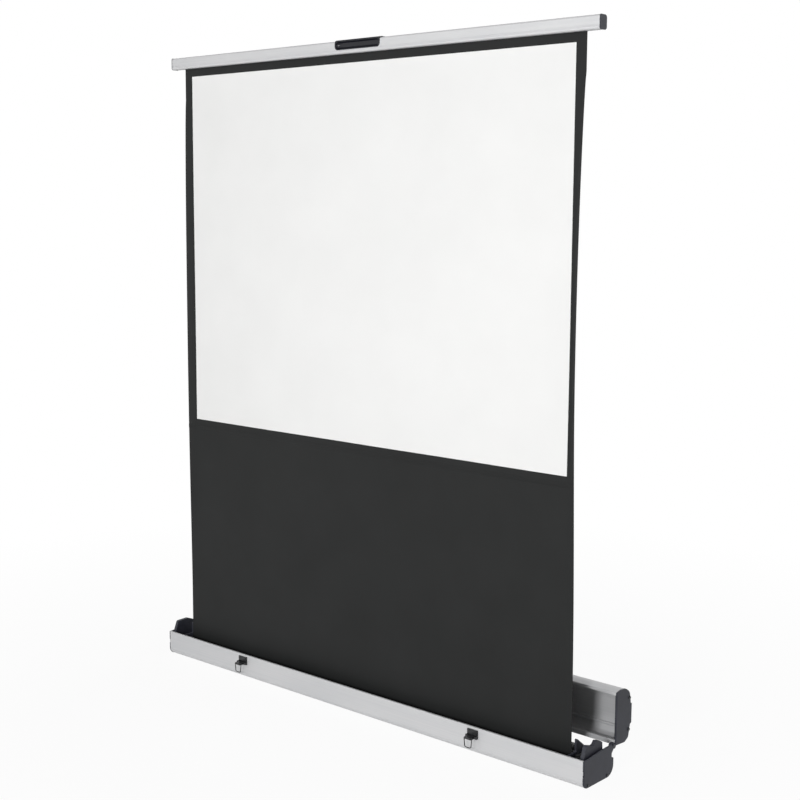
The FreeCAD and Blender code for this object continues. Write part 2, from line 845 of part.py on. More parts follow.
# Lid trough: upright open extrusion with lips, inner ribs and screw bosses
lid_shares = [
    (0.0, 0.02), (0.62, 0.0), (0.86, 0.06), (0.985, 0.32), (0.985, 0.7), (0.9, 0.9), (0.62, 0.985),
    (0.3, 1.0), (0.0, 0.975),
]
lid_points = [(mouth_y + u * lid_depth, lid_low + v * lid_height) for u, v in lid_shares]
lid_radii = [
    lid_wall, lid_foot_round, lid_foot_round, lid_back_round, lid_back_round, lid_shoulder_round,
    lid_crown_round, lid_crown_round, lid_wall,
]


def lid_wire(offset, x):
    wire = rounded_wire(lid_points, lid_radii, end_view(x))
    if offset:
        wire = wire.makeOffset2D(offset)
    return wire


def lid_solid(offset, start, length):
    return Part.Face(lid_wire(offset, start)).extrude(Vector(length, 0, 0))


lid_shell = lid_solid(0, -half_case, case_length)
lid_void = lid_solid(-lid_wall, -half_case - overrun, case_length + 2 * overrun)
lip_low = lid_points[0][1] + lid_lower_lip
lip_high = lid_points[-1][1] - lid_upper_lip
lid_mouth = box(
    (-half_case - overrun, half_case + overrun), (mouth_y - overrun, mouth_y + 2 * lid_wall),
    (lip_low, lip_high),
)
lid_boss_inset = lid_wall / 2 + screw_boss_radius


def inside_lid(side, share):
    """Place inside a side of the lid's outline, a boss's setback from its outer face."""
    (y0, z0), (y1, z1) = lid_points[side], lid_points[side + 1]
    length = hypot(y1 - y0, z1 - z0)
    y = y0 + share * (y1 - y0) - lid_boss_inset * (z1 - z0) / length
    z = z0 + share * (z1 - z0) + lid_boss_inset * (y1 - y0) / length
    return y, z


boss_sides = (6, 0, 2, 4)
boss_shares = (0.6, 0.5, 0.55, 0.5)
lid_boss_places = [inside_lid(side, share) for side, share in zip(boss_sides, boss_shares)]
lid_bosses = [rod_x(screw_boss_radius, y, z, *span) for y, z in lid_boss_places]
lip_groove_shares = (0.3, 0.6, 0.9)
lip_grooves = [
    rod_x(
        lid_groove_radius, mouth_y - lid_groove_radius / 2, lid_points[0][1] + v * lid_lower_lip,
        -half_case - overrun, half_case + overrun,
    )
    for v in lip_groove_shares
]
lid_trough = lid_shell.cut(lid_void).cut(lid_mouth)
boss_pieces = Part.makeCompound(lid_bosses).common(lid_shell)
lid_trough = fused([lid_trough] + boss_pieces.Solids).cut(Part.makeCompound(lip_grooves))
lid_boss_holes = [
    rod_x(screw_hole_radius, y, z, -half_case - overrun, half_case + overrun)
    for y, z in lid_boss_places
]
ear_room_top = hinge_height + hinge_ear_radius + side_gap
ear_rooms = [
    box(
        (lid_ear_start - side_gap, half_case + overrun),
        (mouth_y - overrun, mouth_y + hinge_room),
        (lid_low - overrun, ear_room_top),
    )
]
ear_rooms.append(other_end(ear_rooms[0]))
lid_trough = lid_trough.cut(Part.makeCompound(lid_boss_holes + ear_rooms))
keep("lid_trough", lid_trough)

# Lid end cap: flange with a bumper on the back, a hollow plug and the inner hinge ear
lid_flange = round_rim(lid_solid(cap_lip, half_case, cap_flange), cap_outside, cap_edge_round)
bumper_shares = (0.29, 0.31, 0.67, 0.69)
bumper_steps = (-bumper_height, bumper_height, bumper_height, -bumper_height)
bumper_points = [
    (lid_rear + step, lid_low + v * lid_height) for v, step in zip(bumper_shares, bumper_steps)
]
bumper = along_x(bumper_points, [bumper_round / 2] * 4, half_case, cap_flange)
bumper = round_rim(bumper, cap_outside, bumper_round / 3)
ear_relief = rod_x(
    hinge_ear_radius + side_gap, hinge_y, hinge_height, half_case - overrun,
    half_case + cap_flange + overrun,
)
lid_plug = lid_solid(-lid_wall - fit_gap, half_case - lid_spigot, lid_spigot)
lid_core = lid_solid(
    -lid_wall - fit_gap - plug_wall, half_case - lid_spigot - overrun, lid_spigot + overrun
)
lid_rooms = [
    rod_x(screw_boss_radius + fit_gap, y, z, half_case - lid_spigot - overrun, half_case)
    for y, z in lid_boss_places
]
lid_plug = lid_plug.cut(lid_core).cut(Part.makeCompound(lid_rooms))
ear_disc = rod_x(hinge_ear_radius, hinge_y, hinge_height, lid_ear_start, lid_ear_end)
ear_arm = box(
    (lid_ear_start, half_case),
    (mouth_y + side_gap, mouth_y + hinge_room - side_gap),
    (hinge_height - lid_drop + lid_wall, hinge_height + hinge_ear_radius),
)
ear_neck = box(
    (lid_ear_start, lid_ear_end),
    (hinge_y, mouth_y + hinge_room / 2),
    (hinge_height - lid_drop + lid_wall, hinge_height + hinge_ear_radius),
)
lid_face = fused([lid_flange, bumper]).cut(ear_relief)
lid_cap = fused([lid_face] + lid_plug.Solids + [ear_disc, ear_arm, ear_neck])
lid_ear_hole = rod_x(
    hinge_pin_radius + running_gap, hinge_y, hinge_height, lid_ear_start - overrun, half_case
)
lid_cap_holes = [
    rod_x(screw_hole_radius, y, z, half_case - overrun, half_case + cap_flange + overrun)
    for y, z in lid_boss_places[2:]
]
lid_cap = lid_cap.cut(Part.makeCompound([lid_ear_hole] + lid_cap_holes))
keep_pair("lid_end_cap", lid_cap)
right_screws = [cap_screw(y, z, half_case + cap_flange) for y, z in lid_boss_places[2:]]
keep("lid_cap_screws", Part.makeCompound(right_screws + [other_end(s) for s in right_screws]))

# Keepers for the latch bails: hooks on the edge of the lid that meets the front wall
keeper_z = lid_points[-1][1] - keeper_height
keeper_y = mouth_y + keeper_depth / 2


# Latches: plate with two ears, lever on a pin, and a wire bail
def latch_plate(x):
    left = x - latch_plate_width / 2
    right = x + latch_plate_width / 2
    low = plate_top - latch_plate_height
    points = [(left, low), (right, low), (right, plate_top), (left, plate_top)]
    face = front_y - latch_plate_thickness
    plate = along_y(points, [latch_ear_radius / 2] * 4, face, latch_plate_thickness)
    pieces = [plate]
    for start in (left, right - latch_ear_thickness):
        pieces.append(
            rod_x(latch_ear_radius, latch_axis_y, latch_axis_z, start, start + latch_ear_thickness)
        )
        pieces.append(
            box(
                (start, start + latch_ear_thickness), (latch_axis_y, front_y),
                (latch_axis_z - latch_ear_radius, latch_axis_z + latch_ear_radius),
            )
        )
    hole = rod_x(latch_pin_radius + running_gap, latch_axis_y, latch_axis_z, left - overrun, right + overrun)
    return fused(pieces).cut(hole)


lever_width = latch_plate_width - 2 * latch_ear_thickness - 2 * lever_side_gap
nose_width = bail_width - 2 * bail_wire_radius - 2 * lever_side_gap - bail_taper / 2


def latch_lever(x):
    half = lever_width / 2
    nose = nose_width / 2
    barrel = rod_x(latch_ear_radius - latch_pin_radius / 2, latch_axis_y, latch_axis_z, x - half, x + half)
    thick = lever_thickness / 2
    side = [
        (bail_axis_y - lever_nose, latch_axis_z - thick), (latch_axis_y, latch_axis_z - thick),
        (latch_axis_y, latch_axis_z + thick), (bail_axis_y - lever_nose, latch_axis_z + thick),
    ]
    blade = along_x(side, [thick / 2, 0, 0, thick / 2], x - nose, nose_width)
    pin = rod_x(
        latch_pin_radius, latch_axis_y, latch_axis_z, x - latch_plate_width / 2, x + latch_plate_width / 2
    )
    hole = rod_x(
        bail_wire_radius + running_gap, bail_axis_y, latch_axis_z, x - nose - overrun, x + nose + overrun
    )
    return fused([barrel, blade, pin]).cut(hole)


def latch_bail(x):
    half = bail_width / 2
    low = latch_axis_z - bail_drop
    inner_end = nose_width / 4
    foot = half - bail_taper
    places = [
        (-inner_end, latch_axis_z), (-half, latch_axis_z), (-foot, low), (foot, low),
        (half, latch_axis_z), (inner_end, latch_axis_z),
    ]
    corners = [Vector(x + across, bail_axis_y, z) for across, z in places]
    turns = [bail_hook_round, bail_round, bail_round, bail_hook_round]
    edges = []
    last = corners[0]
    for i, radius in enumerate(turns, 1):
        corner = corners[i]
        back = (corners[i - 1] - corner).normalize()
        on = (corners[i + 1] - corner).normalize()
        half_turn = back.getAngle(on) / 2
        arc_start = corner + back * (radius / tan(half_turn))
        arc_end = corner + on * (radius / tan(half_turn))
        arc_middle = corner + (back + on).normalize() * (radius / sin(half_turn) - radius)
        edges.append(Part.LineSegment(last, arc_start).toShape())
        edges.append(Part.Arc(arc_start, arc_middle, arc_end).toShape())
        last = arc_end
    edges.append(Part.LineSegment(last, corners[-1]).toShape())
    path = Part.Wire(edges)
    section = Part.Wire(Part.makeCircle(bail_wire_radius, corners[0], Vector(1, 0, 0)))
    return path.makePipeShell([section], True, False)


def keeper(x):
    half = keeper_width / 2
    return box(
        (x - half, x + half), (keeper_y, keeper_y + keeper_depth),
        (keeper_z, keeper_z + 2 * keeper_height + keeper_wall),
    ).cut(lid_shell)


rivet_shares = (-0.3, 0.3)
rivets = []
keepers = []
for name, x in (("left", -half_latch), ("right", half_latch)):
    keep("latch_plate_" + name, latch_plate(x))
    keep("latch_lever_" + name, latch_lever(x))
    keep("latch_bail_" + name, latch_bail(x))
    keepers.append(keeper(x))
    for share in rivet_shares:
        rivets.append(
            rod_y(
                rivet_radius, x + share * latch_plate_width, plate_top - 2 * rivet_radius,
                front_y - latch_plate_thickness - rivet_height, front_y - latch_plate_thickness,
            )
        )
keep("latch_rivets", Part.makeCompound(rivets))
keep("latch_keepers", Part.makeCompound(keepers))

# Carry handle on the back of the lid: two mounts and a bail-shaped grip that hangs between them
half_span = handle_span / 2
handle_share = 0.62
handle_axis_z = lid_low + handle_share * lid_height
mounts = []
for x in (-half_span, half_span):
    y_back = lid_rear + handle_clear + 2 * grip_bar_radius
    block = box(
        (x - mount_width / 2, x + mount_width / 2), (lid_rear, y_back),
        (handle_axis_z - mount_height / 2, handle_axis_z + mount_height / 2),
    )
    rim = [e for e in block.Edges if abs(e.CenterOfMass.y - y_back) < fit_gap]
    block = block.makeFillet(mount_round, rim)
    hole = rod_x(
        handle_pin_radius + running_gap, handle_axis_y, handle_axis_z, x - mount_width, x + mount_width
    )
    mounts.append(block.cut(hole))
keep("handle_mounts", Part.makeCompound(mounts))
arm_x = half_span - mount_width / 2 - side_gap
grip_z = handle_axis_z - handle_drop
handle_pieces = [
    rod_x(grip_bar_radius, handle_axis_y, grip_z, -arm_x, arm_x),
]
pin_reach = half_span + handle_pin_wall
for start, end in ((arm_x - handle_arm_width, pin_reach), (-pin_reach, handle_arm_width - arm_x)):
    handle_pieces.append(rod_x(handle_pin_radius, handle_axis_y, handle_axis_z, start, end))
handle_eye = handle_pin_radius + handle_pin_wall / 2
for x in (arm_x - handle_arm_width, -arm_x):
    wide = (x, x + handle_arm_width)
    handle_pieces.append(rod_x(handle_eye, handle_axis_y, handle_axis_z, *wide))
    handle_pieces.append(
        box(wide, (handle_axis_y - handle_eye, handle_axis_y + handle_eye), (grip_z, handle_axis_z))
    )
keep("carry_handle", fused(handle_pieces))

# The middle of the outline on the floor is the origin
outline = Part.makeCompound(list(shapes.values())).optimalBoundingBox(False, False)
shift = Vector(-outline.Center.x, -outline.Center.y, -outline.ZMin)
os.makedirs("parts", exist_ok=True)
for name, shape in shapes.items():
    moved = shape.copy()
    moved.translate(shift)
    moved.exportStep("parts/" + name + ".step")
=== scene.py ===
from math import cos, pi, radians, sin

import bmesh
import bpy
from mathutils import Matrix, Vector


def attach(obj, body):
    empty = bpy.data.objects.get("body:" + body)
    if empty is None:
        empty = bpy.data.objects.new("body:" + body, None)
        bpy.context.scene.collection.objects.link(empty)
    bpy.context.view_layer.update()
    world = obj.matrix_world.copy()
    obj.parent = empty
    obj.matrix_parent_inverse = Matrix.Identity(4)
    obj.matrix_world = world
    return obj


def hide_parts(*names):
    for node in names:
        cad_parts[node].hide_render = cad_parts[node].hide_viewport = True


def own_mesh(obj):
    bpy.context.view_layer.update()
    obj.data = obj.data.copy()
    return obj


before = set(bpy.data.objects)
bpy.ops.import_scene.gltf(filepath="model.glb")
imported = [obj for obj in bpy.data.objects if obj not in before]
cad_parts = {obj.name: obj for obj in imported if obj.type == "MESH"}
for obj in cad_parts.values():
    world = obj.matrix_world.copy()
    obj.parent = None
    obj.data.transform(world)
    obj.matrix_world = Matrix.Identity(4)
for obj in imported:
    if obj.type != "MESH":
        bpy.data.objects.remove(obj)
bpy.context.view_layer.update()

# Pull-up projection screen: a coated cloth between a roller in an aluminium case and a top bar.
# Metres, X along the case, Y to the rear, Z up.

mm = 0.001

# Cloth, as it hangs from the top bar
cloth_plane = -50.0 * mm
cloth_thickness = 0.45 * mm
image_half = 606.5 * mm
image_sill = 672.5 * mm
image_top = 1582.5 * mm
weld_height = 647.5 * mm
weld_overlap = 9.0 * mm
weld_step = 0.55 * mm
cloth_top = 1610.0 * mm
cloth_top_half = 633.0 * mm
cloth_foot_half = 635.0 * mm
curl_foot = 100.0 * mm
curl_crest = 930.0 * mm
curl_top = 1520.5 * mm
curl_right = radians(57.0)
curl_left = radians(34.0)
flat_turn = radians(1.0)
upper_ease = 0.55
lower_ease = 2.2
wave_depth = 0.5 * mm
wave_length = 410.0 * mm
wave_slant = 0.35

# Cells of the cloth's mesh
image_cells_across = 64
image_cells_up = 60
side_cells = 8
hem_cells = 4
drop_cells = 44

# Roller under the cloth
roller_axis = Vector((0.0, -63.7 * mm, 30.0 * mm))
wound_core = 12.52 * mm
wound_pitch = 0.19 * mm
wound_sheet = 0.16 * mm
wound_turns = 3
wound_steps = 48

# Slope of the stand's arms at rest
arm_rise = radians(68.63)

# Camera, solved from the edges of the white area and of the case
camera_place = Vector((2.264, -2.481, 1.2355))
camera_yaw = radians(-41.30)
camera_pitch = radians(-7.78)
camera_roll = radians(0.34)
camera_lens = 62.2
camera_sensor = 36.0

# Studio. To the eye the floor has a share white_near of plain white out to shadow_reach from the
# middle, and is all white from white_reach on. soft_light is the light of the surroundings.
floor_size = 40.0
white_near = 0.94
shadow_reach = 0.75
white_reach = 2.2
soft_light = 0.1


def linear(hex_colour):
    """Linear colour of an sRGB hex value."""
    shares = [int(hex_colour[i:i + 2], 16) / 255 for i in (1, 3, 5)]
    return (*[s / 12.92 if s <= 0.04045 else ((s + 0.055) / 1.055) ** 2.4 for s in shares], 1.0)


def add(tree, kind, inputs=None, **settings):
    """A node with its settings. An input, by name or number, is a value or the output that feeds it.
    A Mix node has its two colours at inputs 6 and 7, and the mixed one at output 2."""
    node = tree.nodes.new(kind)
    for name, value in settings.items():
        setattr(node, name, value)
    for key, value in (inputs or {}).items():
        if isinstance(value, bpy.types.NodeSocket):
            tree.links.new(value, node.inputs[key])
        else:
            node.inputs[key].default_value = value
    return node


def new_finish(name):
    """A material with nothing in its node tree yet, and that tree."""
    material = bpy.data.materials.new(name)
    material.use_nodes = True
    material.node_tree.nodes.clear()
    return material, material.node_tree


def anodised_aluminium(name, turn=0.0):
    """Extruded aluminium, satin anodised: pale grey and soft, because the etched oxide coat scatters
    most of the light, with fine die lines along X, turned about Y on the arms. The lines, under
    0.3 mm wide, are drawn 1.6 mm wide so that they show."""
    die_line = (420 * mm, 1.6 * mm, 1.6 * mm)
    cloud = (240 * mm, 55 * mm, 55 * mm)
    material, tree = new_finish(name)
    place = add(tree, "ShaderNodeTexCoord").outputs["Object"]
    along = add(tree, "ShaderNodeMapping", {"Vector": place, "Rotation": (0.0, turn, 0.0)})
    drawn = add(tree, "ShaderNodeMapping", {
        "Vector": along.outputs["Vector"], "Scale": [1 / size for size in die_line]})
    lines = add(tree, "ShaderNodeTexNoise", {
        "Vector": drawn.outputs["Vector"], "Scale": 1.0, "Detail": 2.0})
    wide = add(tree, "ShaderNodeMapping", {
        "Vector": along.outputs["Vector"], "Scale": [1 / size for size in cloud]})
    clouds = add(tree, "ShaderNodeTexNoise", {
        "Vector": wide.outputs["Vector"], "Scale": 1.0, "Detail": 2.0})
    tone = add(tree, "ShaderNodeMath", {0: lines.outputs["Fac"], 1: clouds.outputs["Fac"]},
               operation="ADD")
    share = add(tree, "ShaderNodeMapRange", {"Value": tone.outputs["Value"], "From Min": 0.7,
                                             "From Max": 1.3})
    colour = add(tree, "ShaderNodeMix", {0: share.outputs["Result"], 6: linear("#C4C5C7"),
                                         7: linear("#CECECF")}, data_type="RGBA")
    satin = add(tree, "ShaderNodeMapRange", {"Value": lines.outputs["Fac"], "From Min": 0.3,
                                             "From Max": 0.7, "To Min": 0.54, "To Max": 0.62})
    relief = add(tree, "ShaderNodeBump", {"Height": lines.outputs["Fac"], "Strength": 1.0,
                                          "Distance": 0.02 * mm})
    shader = add(tree, "ShaderNodeBsdfPrincipled", {
        "Base Color": colour.outputs[2], "Metallic": 0.3, "Roughness": satin.outputs["Result"],
        "Normal": relief.outputs["Normal"]})
    add(tree, "ShaderNodeOutputMaterial", {"Surface": shader.outputs["BSDF"]})
    return material


def moulded_plastic(name, dark, light, smoothest, roughest, grain):
    """Injection-moulded plastic: near black with a spark-eroded grain, a little lighter where hands
    and floors have rubbed it. The grain, about 0.1 mm, is drawn coarser so that it shows."""
    rubbed_patch = 38 * mm
    material, tree = new_finish(name)
    place = add(tree, "ShaderNodeTexCoord").outputs["Object"]
    pits = add(tree, "ShaderNodeTexNoise", {"Vector": place, "Scale": 1 / grain, "Detail": 4.0})
    rubbed = add(tree, "ShaderNodeTexNoise", {"Vector": place, "Scale": 1 / rubbed_patch,
                                              "Detail": 3.0})
    share = add(tree, "ShaderNodeMapRange", {"Value": rubbed.outputs["Fac"], "From Min": 0.35,
                                             "From Max": 0.7})
    colour = add(tree, "ShaderNodeMix", {0: share.outputs["Result"], 6: linear(dark),
                                         7: linear(light)}, data_type="RGBA")
    sheen = add(tree, "ShaderNodeMapRange", {
        "Value": pits.outputs["Fac"], "From Min": 0.3, "From Max": 0.7, "To Min": smoothest,
        "To Max": roughest})
    relief = add(tree, "ShaderNodeBump", {"Height": pits.outputs["Fac"], "Strength": 1.0,
                                          "Distance": 0.05 * mm})
    shader = add(tree, "ShaderNodeBsdfPrincipled", {
        "Base Color": colour.outputs[2], "Roughness": sheen.outputs["Result"], "IOR": 1.54,
        "Specular IOR Level": 0.35, "Normal": relief.outputs["Normal"]})
    add(tree, "ShaderNodeOutputMaterial", {"Surface": shader.outputs["BSDF"]})
    return material


def lacquered_steel():
    """Pressed steel under black stoving lacquer: deep black, with the faint orange peel of the coat."""
    peel_dimple = 1.8 * mm
    dull_patch = 9 * mm
    material, tree = new_finish("black_stoved_lacquer_on_steel")
    place = add(tree, "ShaderNodeTexCoord").outputs["Object"]
    peel = add(tree, "ShaderNodeTexNoise", {"Vector": place, "Scale": 1 / peel_dimple, "Detail": 2.0})
    patches = add(tree, "ShaderNodeTexNoise", {"Vector": place, "Scale": 1 / dull_patch})
    share = add(tree, "ShaderNodeMapRange", {"Value": patches.outputs["Fac"], "From Min": 0.3,
                                             "From Max": 0.7})
    colour = add(tree, "ShaderNodeMix", {0: share.outputs["Result"], 6: linear("#121315"),
                                         7: linear("#1D1E20")}, data_type="RGBA")
    gloss = add(tree, "ShaderNodeMapRange", {"Value": peel.outputs["Fac"], "From Min": 0.3,
                                             "From Max": 0.7, "To Min": 0.26, "To Max": 0.36})
    relief = add(tree, "ShaderNodeBump", {"Height": peel.outputs["Fac"], "Strength": 1.0,
                                          "Distance": 0.03 * mm})
    shader = add(tree, "ShaderNodeBsdfPrincipled", {
        "Base Color": colour.outputs[2], "Roughness": gloss.outputs["Result"], "IOR": 1.5,
        "Normal": relief.outputs["Normal"]})
    add(tree, "ShaderNodeOutputMaterial", {"Surface": shader.outputs["BSDF"]})
    return material


def zinc_steel():
    """Turned steel with bright zinc plating: cool grey, slightly mottled."""
    mottle_size = 3 * mm
    material, tree = new_finish("zinc_plated_steel")
    place = add(tree, "ShaderNodeTexCoord").outputs["Object"]
    mottle = add(tree, "ShaderNodeTexNoise", {"Vector": place, "Scale": 1 / mottle_size, "Detail": 3.0})
    share = add(tree, "ShaderNodeMapRange", {"Value": mottle.outputs["Fac"], "From Min": 0.3,
                                             "From Max": 0.7})
    colour = add(tree, "ShaderNodeMix", {0: share.outputs["Result"], 6: linear("#A9ABAE"),
                                         7: linear("#C9CACB")}, data_type="RGBA")
    dulled = add(tree, "ShaderNodeMapRange", {"Value": mottle.outputs["Fac"], "From Min": 0.3,
                                              "From Max": 0.7, "To Min": 0.24, "To Max": 0.4})
    shader = add(tree, "ShaderNodeBsdfPrincipled", {
        "Base Color": colour.outputs[2], "Metallic": 1.0, "Roughness": dulled.outputs["Result"]})
    add(tree, "ShaderNodeOutputMaterial", {"Surface": shader.outputs["BSDF"]})
    return material


def foot_rubber():
    """Moulded nitrile rubber: dull dark grey with a dusty bloom."""
    bloom_patch = 6 * mm
    material, tree = new_finish("nitrile_rubber")
    place = add(tree, "ShaderNodeTexCoord").outputs["Object"]
    bloom = add(tree, "ShaderNodeTexNoise", {"Vector": place, "Scale": 1 / bloom_patch, "Detail": 4.0})
    share = add(tree, "ShaderNodeMapRange", {"Value": bloom.outputs["Fac"], "From Min": 0.3,
                                             "From Max": 0.75})
    colour = add(tree, "ShaderNodeMix", {0: share.outputs["Result"], 6: linear("#1B1B1B"),
                                         7: linear("#2B2A29")}, data_type="RGBA")
    dull = add(tree, "ShaderNodeMapRange", {"Value": bloom.outputs["Fac"], "From Min": 0.3,
                                            "From Max": 0.7, "To Min": 0.78, "To Max": 0.92})
    shader = add(tree, "ShaderNodeBsdfPrincipled", {
        "Base Color": colour.outputs[2], "Roughness": dull.outputs["Result"]})
    add(tree, "ShaderNodeOutputMaterial", {"Surface": shader.outputs["BSDF"]})
    return material


def coated_cloth(name, dark, light, rough, relief_height):
    """Glass-fibre cloth with a matt vinyl coat: even colour, with the print of the weave just showing.
    The threads, 0.5 mm apart, are drawn 3.5 mm apart so that they show. At a scale of 1 a wave texture
    repeats every pi / 10."""
    thread_spacing = 3.456 * mm
    coat_patch = 160 * mm
    rough_swing = 0.04
    material, tree = new_finish(name)
    place = add(tree, "ShaderNodeTexCoord").outputs["Object"]
    warp, weft = [
        add(tree, "ShaderNodeTexWave", {"Vector": place, "Scale": pi / 10 / thread_spacing,
                                        "Distortion": 0.4, "Detail": 1.0},
            wave_type="BANDS", bands_direction=way, wave_profile="SIN")
        for way in ("X", "Z")]
    weave = add(tree, "ShaderNodeMath", {0: warp.outputs["Fac"], 1: weft.outputs["Fac"]},
                operation="MULTIPLY")
    coat = add(tree, "ShaderNodeTexNoise", {"Vector": place, "Scale": 1 / coat_patch, "Detail": 2.0})
    share = add(tree, "ShaderNodeMapRange", {"Value": coat.outputs["Fac"], "From Min": 0.3,
                                             "From Max": 0.7})
    colour = add(tree, "ShaderNodeMix", {0: share.outputs["Result"], 6: linear(dark),
                                         7: linear(light)}, data_type="RGBA")
    matt = add(tree, "ShaderNodeMapRange", {
        "Value": weave.outputs["Value"], "To Min": rough - rough_swing, "To Max": rough + rough_swing})
    relief = add(tree, "ShaderNodeBump", {"Height": weave.outputs["Value"], "Strength": 1.0,
                                          "Distance": relief_height})
    shader = add(tree, "ShaderNodeBsdfPrincipled", {
        "Base Color": colour.outputs[2], "Roughness": matt.outputs["Result"], "IOR": 1.5,
        "Specular IOR Level": 0.2, "Normal": relief.outputs["Normal"]})
    add(tree, "ShaderNodeOutputMaterial", {"Surface": shader.outputs["BSDF"]})
    return material


def cloth_half(z):
    """Half the cloth's width, a little less at the top where it is pulled."""
    share = max(0.0, min(1.0, (cloth_top - z) / (cloth_top - roller_axis.z)))
    return cloth_top_half + (cloth_foot_half - cloth_top_half) * share


def edge_turn(z, full_turn):
    """Angle through which a side edge has curled forward at height z."""
    if z > curl_crest:
        share = (curl_top - z) / (curl_top - curl_crest)
        ease = upper_ease
    else:
        share = (z - curl_foot) / (curl_crest - curl_foot)
        ease = lower_ease
    return max(full_turn * sin(pi / 2 * max(share, 0.0)) ** ease, flat_turn)


def ripple(x, z):
    """Slight waves of the cloth between the bar and the roller."""
    slack = max(0.0, sin(pi * (z - roller_axis.z) / (cloth_top - roller_axis.z)))
    return wave_depth * slack * sin(2 * pi * (x + wave_slant * z) / wave_length)


def spread(low, high, count):
    """Ends of count equal steps from low to high."""
    return [low + (high - low) * i / count for i in range(count + 1)]


def crease_rims(mesh):
    """Sharp edges around the faces that stay flat, so that the sheet shades evenly up to its rim."""
    for face in mesh.faces:
        if not face.smooth:
            for edge in face.edges:
                edge.smooth = False


def cloth_piece(name, columns, rows, place, left_out, front, back):
    """Thin closed sheet through place(column, row), without the cells that left_out names."""
    mesh = bmesh.new()
    half = cloth_thickness / 2
    corners = [{}, {}]

    def corner(side, key):
        if key not in corners[side]:
            x, y, z = place(columns[key[0]], rows[key[1]])
            corners[side][key] = mesh.verts.new((x, y + (half if side else -half), z))
        return corners[side][key]

    # Edges with a cell on one side only
    rims = {}
    for i in range(len(columns) - 1):
        for j in range(len(rows) - 1):
            if left_out(columns[i], columns[i + 1], rows[j], rows[j + 1]):
                continue
            ring = [(i, j), (i + 1, j), (i + 1, j + 1), (i, j + 1)]
            for side, order in enumerate((ring, ring[::-1])):
                face = mesh.faces.new([corner(side, k) for k in order])
                face.material_index = side
                face.smooth = True
            for a, b in zip(ring, ring[1:] + ring[:1]):
                if (b, a) in rims:
                    del rims[b, a]
                else:
                    rims[a, b] = True
    for a, b in rims:
        mesh.faces.new([corner(0, b), corner(0, a), corner(1, a), corner(1, b)])
    crease_rims(mesh)
    data = bpy.data.meshes.new(name)
    mesh.normal_update()
    mesh.to_mesh(data)
    mesh.free()
    data.materials.append(front)
    data.materials.append(back)
    piece = bpy.data.objects.new(name, data)
    bpy.context.scene.collection.objects.link(piece)
    return piece


# Finishes
aluminium = anodised_aluminium("satin_anodised_aluminium")
rising_arm_aluminium = anodised_aluminium("anodised_arm_rising_right", turn=arm_rise)
falling_arm_aluminium = anodised_aluminium("anodised_arm_rising_left", turn=-arm_rise)
cap_plastic = moulded_plastic("spark_grained_abs", dark="#262830", light="#2E3039",
                              smoothest=0.46, roughest=0.6, grain=0.9 * mm)
grip_plastic = moulded_plastic("polished_abs", dark="#0B0C15", light="#11121C",
                               smoothest=0.16, roughest=0.24, grain=0.6 * mm)
bracket_plastic = moulded_plastic("glass_filled_nylon", dark="#1F2029", light="#282A34",
                                  smoothest=0.5, roughest=0.64, grain=0.7 * mm)
lacquer = lacquered_steel()
zinc = zinc_steel()
rubber = foot_rubber()
white_cloth = coated_cloth("matt_white_vinyl_cloth", dark="#F1F1F0", light="#F4F4F3", rough=0.8,
                           relief_height=0.02 * mm)
black_cloth = coated_cloth("matt_black_vinyl_cloth", dark="#181919", light="#1D1E1E", rough=0.62,
                           relief_height=0.03 * mm)

finishes = {
    aluminium: ("base_trough", "lid_trough", "top_bar", "base_rail", "bar_rail", "rail_standoffs",
                "roller_tube"),
    rising_arm_aluminium: ("arm_lower_front", "arm_upper_front"),
    falling_arm_aluminium: ("arm_lower_rear", "arm_upper_rear"),
    cap_plastic: ("base_end_cap_left", "base_end_cap_right", "lid_end_cap_left",
                  "lid_end_cap_right", "bar_cap_left", "bar_cap_right", "handle_mounts",
                  "carry_handle"),
    grip_plastic: ("pull_grip",),
    bracket_plastic: ("bar_cradle_left", "bar_cradle_right", "roller_bracket_left",
                      "roller_bracket_right", "roller_plug_left", "roller_plug_right"),
    lacquer: ("latch_plate_left", "latch_plate_right", "latch_lever_left", "latch_lever_right",
              "latch_bail_left", "latch_bail_right", "latch_keepers", "latch_rivets",
              "base_cap_screws", "lid_cap_screws", "bracket_screws", "hinge_pin_left",
              "hinge_pin_right"),
    zinc: ("spring_rod", "cloth_clamp_rod", "pivot_base", "pivot_lower_cross",
           "pivot_upper_cross", "pivot_elbow_left", "pivot_elbow_right", "pivot_bar",
           "slide_pin_base", "slide_pin_bar"),
    rubber: ("foot_pads",),
    white_cloth: ("screen_image",),
    black_cloth: ("screen_border", "screen_drop", "cloth_wrap"),
}
for finish, names in finishes.items():
    for name in names:
        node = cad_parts[name].data
        node.materials.clear()
        node.materials.append(finish)

# Cloth: columns -1 to 1 span the white area, and 1 to 2 on either side reach the cloth's edge
side_columns = spread(1.0, 2.0, side_cells)[1:]
image_columns = spread(-1.0, 1.0, image_cells_across)
columns = [-c for c in reversed(side_columns)] + image_columns + side_columns


def cloth_place(column, z, forward=0.0):
    """Point of the cloth at a column and a height. The strips beside the white area curl forward."""
    share = max(abs(column) - 1, 0.0)
    turn = edge_turn(z, curl_right if column > 0 else curl_left)
    radius = (cloth_half(z) - image_half) / turn
    x = min(abs(column), 1.0) * image_half + radius * sin(turn * share)
    x = x if column > 0 else -x
    return x, cloth_plane + ripple(x, z) - radius * (1 - cos(turn * share)) - forward, z


def drop_place(column, z):
    """Drop, which steps forward over the foot of the border where the two are welded."""
    share = max(0.0, min(1.0, (z - weld_height + weld_step) / (2 * weld_step)))
    return cloth_place(column, z, weld_step * share)


def in_image(c0, c1, z0, z1):
    """Whether the cell between these columns and heights is one of the white area."""
    return abs(c0 + c1) < 2 and image_sill < (z0 + z1) / 2 < image_top


